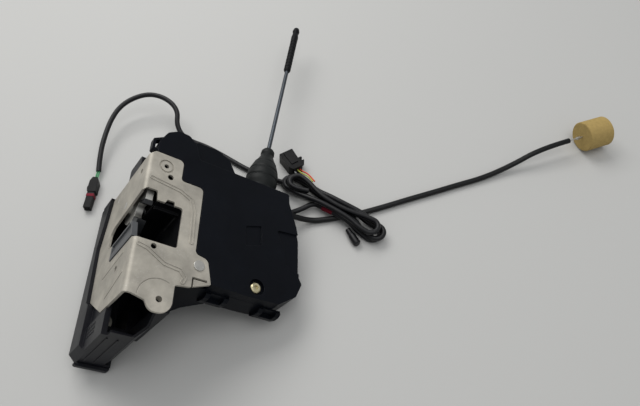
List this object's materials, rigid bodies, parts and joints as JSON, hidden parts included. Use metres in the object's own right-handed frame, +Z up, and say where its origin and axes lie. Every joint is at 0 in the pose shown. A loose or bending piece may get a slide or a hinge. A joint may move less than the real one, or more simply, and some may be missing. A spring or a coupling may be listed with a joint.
{
  "type": "car door lock",
  "caption": "Side door lock of a car: bent latch plate with striker mouth, rotary latch, actuator housing, lock rod in a gaiter, release cable and wiring harness.",
  "frame": {"origin": "on the table under the middle of the lock's own box, without the cable and the harness", "axes": "+Z up from the table, +Y along the lock rod, +X towards the release cable"},
  "size_m": [0.532, 0.393, 0.1016],
  "materials": {
    "zinc_sheet": "satin",
    "bright_steel": "satin",
    "dark_steel": "satin",
    "spring_steel": "satin",
    "latch_plastic": "satin",
    "cover_plastic": "satin",
    "liner_plastic": "satin",
    "grey_plastic": "matte",
    "coat_plastic": "satin",
    "buffer_rubber": "matte",
    "boot_rubber": "matte",
    "yellow_zinc": "satin",
    "motor_can": "satin",
    "worm_brass": "satin",
    "gear_plastic": "satin",
    "rod_steel": "satin",
    "grip_plastic": "satin",
    "sheath_plastic": "satin",
    "sleeve_rubber": "satin",
    "foam": "matte",
    "plug_plastic": "satin",
    "wire_colours": "satin",
    "side_wire_green": "satin",
    "band_red": "satin",
    "board_green": "satin"
  },
  "bodies": {
    "case": {"latch_plate": "zinc_sheet", "plate_rivet": "bright_steel", "latch_box": "latch_plastic", "back_cover": "latch_plastic", "striker_pocket": "liner_plastic", "striker_buffer": "buffer_rubber", "striker_guide": "grey_plastic", "pivot_plate": "dark_steel", "latch_stud": "bright_steel", "pawl_stud": "bright_steel", "latch_spring": "spring_steel", "pawl_spring": "spring_steel", "front_cover": "cover_plastic", "rear_shell": "cover_plastic", "cover_screw": "yellow_zinc", "drive_motor": "motor_can", "drive_pins": "bright_steel", "rod_boot": "boot_rubber", "cable_ferrule": "sheath_plastic", "harness_grommet": "boot_rubber", "outside_pin": "bright_steel", "latch_sensor": "plug_plastic", "contact_board": "board_green", "lock_switch": "plug_plastic", "cable_sheath": "sheath_plastic", "harness_lead": "sleeve_rubber", "harness_hank": "sleeve_rubber", "harness_connector": "plug_plastic", "connector_wires": "wire_colours", "branch_connector": "sleeve_rubber", "side_lead": "sleeve_rubber", "side_wires": "side_wire_green", "side_connector": "plug_plastic", "side_band": "band_red"},
    "latch": {"rotary_latch": "bright_steel", "latch_coating": "coat_plastic"},
    "pawl": {"pawl": "dark_steel"},
    "rod": {"lock_rod": "rod_steel", "rod_sleeve": "grip_plastic"},
    "lock_lever": {"lock_lever": "dark_steel"},
    "worm_wheel": {"worm_wheel": "gear_plastic"},
    "worm": {"drive_worm": "worm_brass"},
    "cable_end": {"cable_wire_end": "bright_steel", "foam_plug": "foam"},
    "inner_cable": {"inner_cable": "spring_steel"},
    "release_lever": {"release_lever": "bright_steel"},
    "release_link": {"release_link": "bright_steel"},
    "outside_lever": {"outside_lever": "bright_steel"},
    "key_cam": {"key_cam": "gear_plastic"}
  },
  "joints": [
    {"name": "latch_swing", "type": "hinge", "parent": "case", "child": "latch", "pos_m": [-0.0481, -0.07947, 0.06447], "axis": [0.8453, 0, -0.5343], "range_deg": [0, 68], "stiffness_Nm_per_rad": 0.25, "springref_deg": -34.38, "deforming": ["latch_spring"]},
    {"name": "pawl_swing", "type": "hinge", "parent": "case", "child": "pawl", "pos_m": [-0.06199, -0.05947, 0.0425], "axis": [0.8453, 0, -0.5343], "range_deg": [-6, 9], "stiffness_Nm_per_rad": 0.3, "deforming": ["pawl_spring"]},
    {"name": "rod_slide", "type": "slide", "parent": "case", "child": "rod", "axis": [0.1349, 0.9909, 0.0001], "range_m": [-0.012, 0]},
    {"name": "lock_lever_swing", "type": "hinge", "parent": "case", "child": "lock_lever", "pos_m": [0.02662, -0.05747, 0.04044], "axis": [0.5343, 0, 0.8453], "range_deg": [-30, 0]},
    {"name": "worm_wheel_spin", "type": "hinge", "parent": "case", "child": "worm_wheel", "pos_m": [0.01444, -0.08547, 0.04269], "axis": [0.5343, 0, 0.8453], "range_deg": [0, 77]},
    {"name": "worm_spin", "type": "hinge", "parent": "case", "child": "worm", "pos_m": [-0.00374, -0.09147, 0.05418], "axis": [0, 1, 0], "range_deg": [0, 920]},
    {"name": "cable_pull", "type": "slide", "parent": "case", "child": "cable_end", "axis": [0.9366, 0.3505, 0], "range_m": [0, 0.015], "stiffness_N_per_m": 150, "springref_m": -0.01},
    {"name": "inner_cable_slide", "type": "slide", "parent": "case", "child": "inner_cable", "axis": [0.8453, 0, -0.5343], "range_m": [0, 0.015]},
    {"name": "release_lever_swing", "type": "hinge", "parent": "case", "child": "release_lever", "pos_m": [0.05531, -0.07747, 0.03343], "axis": [0.5343, 0, 0.8453], "range_deg": [-26.7, 0]},
    {"name": "release_link_slide", "type": "slide", "parent": "case", "child": "release_link", "axis": [0.8453, 0, -0.5343], "range_m": [-0.009, 0]},
    {"name": "outside_lever_swing", "type": "hinge", "parent": "case", "child": "outside_lever", "pos_m": [-0.06467, -0.07547, 0.0158], "axis": [0.8453, 0, -0.5343], "range_deg": [-12, 0], "stiffness_Nm_per_rad": 0.1, "springref_deg": 17.19},
    {"name": "key_cam_turn", "type": "hinge", "parent": "case", "child": "key_cam", "pos_m": [-0.07359, -0.15947, 0.01197], "axis": [0.5343, 0, 0.8453], "range_deg": [-35, 35], "stiffness_Nm_per_rad": 0.02}
  ],
  "couplings": [
    {"joint": "lock_lever_swing", "follows": "rod_slide", "rad_per_m": 43.5},
    {"joint": "worm_wheel_spin", "follows": "rod_slide", "rad_per_m": -111.18},
    {"joint": "worm_spin", "follows": "rod_slide", "rad_per_m": -1334.2},
    {"joint": "inner_cable_slide", "follows": "cable_pull", "ratio": 1},
    {"joint": "release_lever_swing", "follows": "cable_pull", "rad_per_m": -30.91},
    {"joint": "release_link_slide", "follows": "cable_pull", "ratio": -0.59628}
  ]
}
